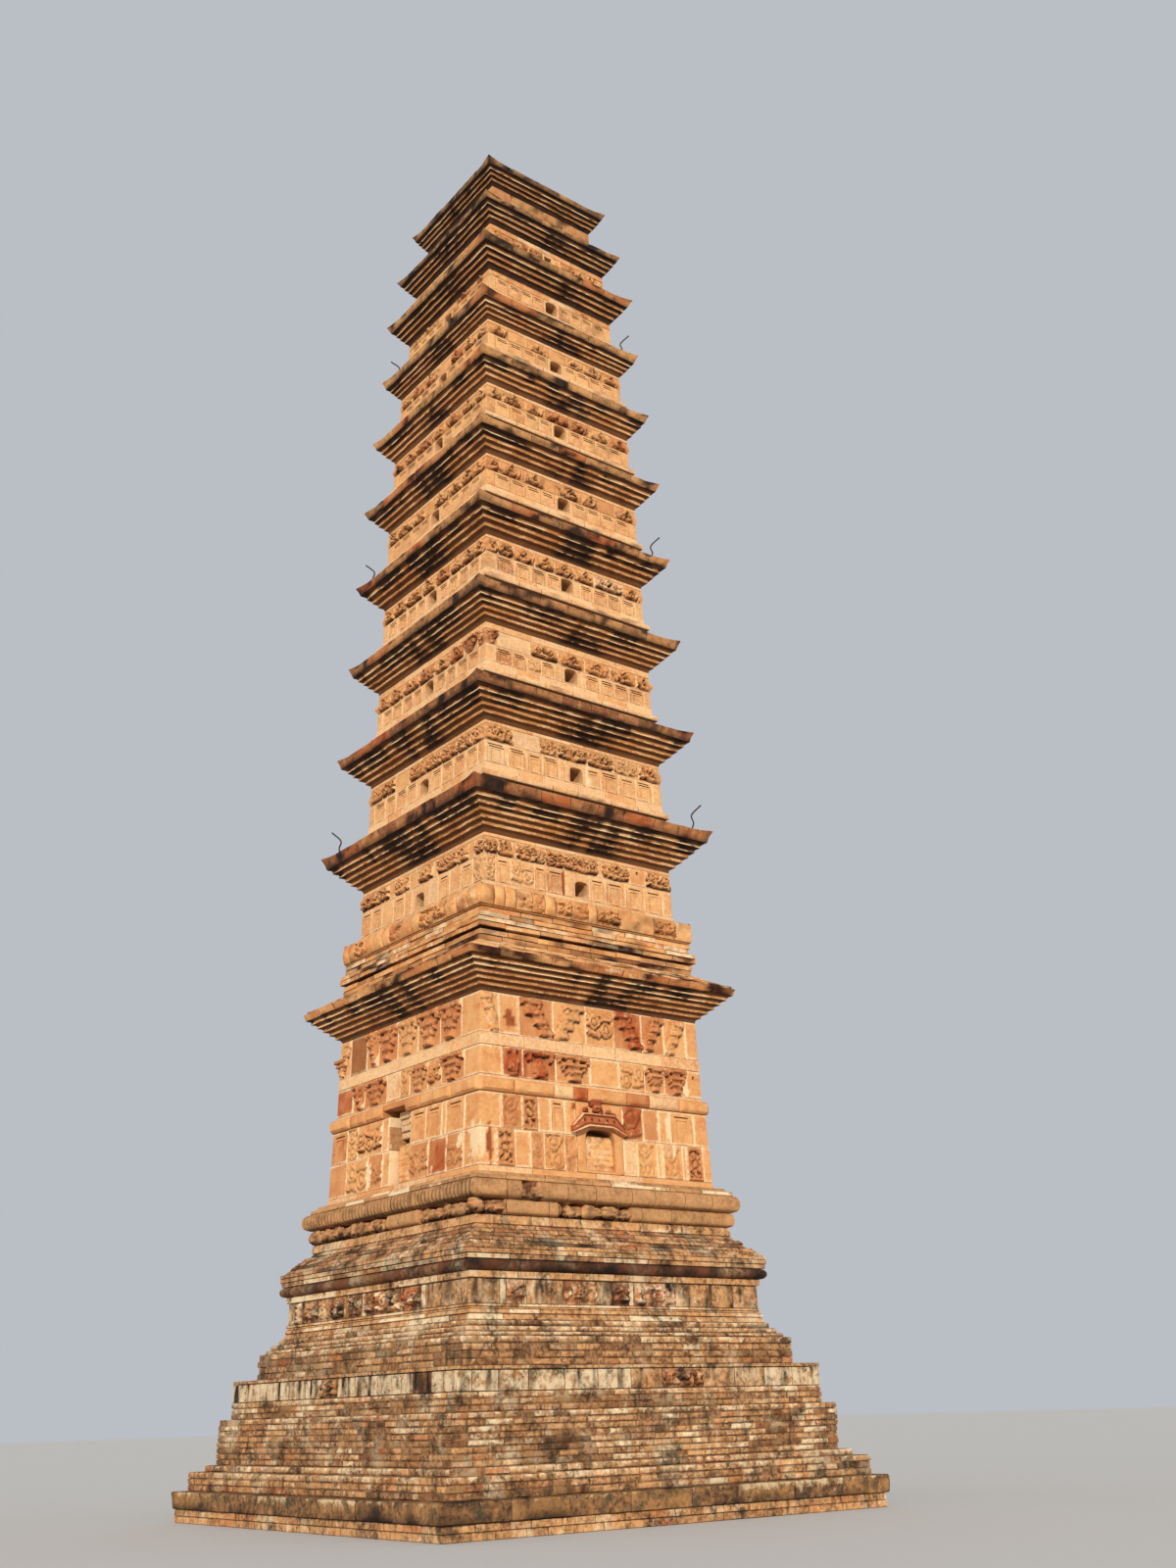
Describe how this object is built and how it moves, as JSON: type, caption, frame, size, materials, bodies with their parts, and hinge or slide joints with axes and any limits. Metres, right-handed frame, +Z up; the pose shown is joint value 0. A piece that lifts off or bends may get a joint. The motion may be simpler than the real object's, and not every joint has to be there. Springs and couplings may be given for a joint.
{
  "type": "brick and terracotta pagoda",
  "caption": "Square masonry pagoda with diminishing storeys, corbelled eaves and relief walls on a stepped pedestal with lotus courses.",
  "frame": {"origin": "centre of the square base, on the ground", "axes": "+Z up. -Y is the face with the hooded door (the right-hand face in the picture), -X the face with the broken door (the left-hand face)"},
  "size_m": [5.28, 5.28, 16.618],
  "materials": {
    "terracotta": "matt fired clay relief, sunlit orange with pale weathered bands",
    "corbel_brick": "rough dark brick courses with pale worn edges and black mould",
    "eave_tile": "rough brown-orange tile with black and mossy stains",
    "pedestal_brick": "mixed brown, pale and dark weathered brick",
    "dark_slab": "rough dark slab, dusty",
    "red_clay": "matt dark red carved clay"
  },
  "bodies": {
    "root": {"foot_course": "pedestal_brick", "ground_slab": "dark_slab", "lower_step": "pedestal_brick", "lower_tier": "pedestal_brick", "upper_tier": "pedestal_brick", "brick_tier": "pedestal_brick", "waist_frieze": "pedestal_brick", "waist_cornice": "pedestal_brick", "lower_lotus_course": "pedestal_brick", "upper_lotus_course": "pedestal_brick", "storey_01_lower_wall": "terracotta", "storey_01_string_course": "terracotta", "storey_01_bracket_wall": "terracotta", "storey_02_plinth": "terracotta", "storey_02_lotus_band": "terracotta", "south_door_blocking": "corbel_brick", "west_door_blocking": "corbel_brick", "storey_01_corbels": "corbel_brick", "storey_01_roof": "corbel_brick", "south_door_hood": "red_clay", "storey_02_wall": "terracotta", "storey_02_corbels": "corbel_brick", "storey_02_eave_tiles": "eave_tile", "storey_03_wall": "terracotta", "storey_03_corbels": "corbel_brick", "storey_03_eave_tiles": "eave_tile", "storey_04_wall": "terracotta", "storey_04_corbels": "corbel_brick", "storey_04_eave_tiles": "eave_tile", "storey_05_wall": "terracotta", "storey_05_corbels": "corbel_brick", "storey_05_eave_tiles": "eave_tile", "storey_06_wall": "terracotta", "storey_06_corbels": "corbel_brick", "storey_06_eave_tiles": "eave_tile", "storey_07_wall": "terracotta", "storey_07_corbels": "corbel_brick", "storey_07_eave_tiles": "eave_tile", "storey_08_wall": "terracotta", "storey_08_corbels": "corbel_brick", "storey_08_eave_tiles": "eave_tile", "storey_09_wall": "terracotta", "storey_09_corbels": "corbel_brick", "storey_09_eave_tiles": "eave_tile", "storey_10_wall": "terracotta", "storey_10_corbels": "corbel_brick", "storey_10_eave_tiles": "eave_tile", "storey_11_wall": "terracotta", "storey_11_corbels": "corbel_brick", "storey_11_eave_tiles": "eave_tile"}
  },
  "joints": []
}
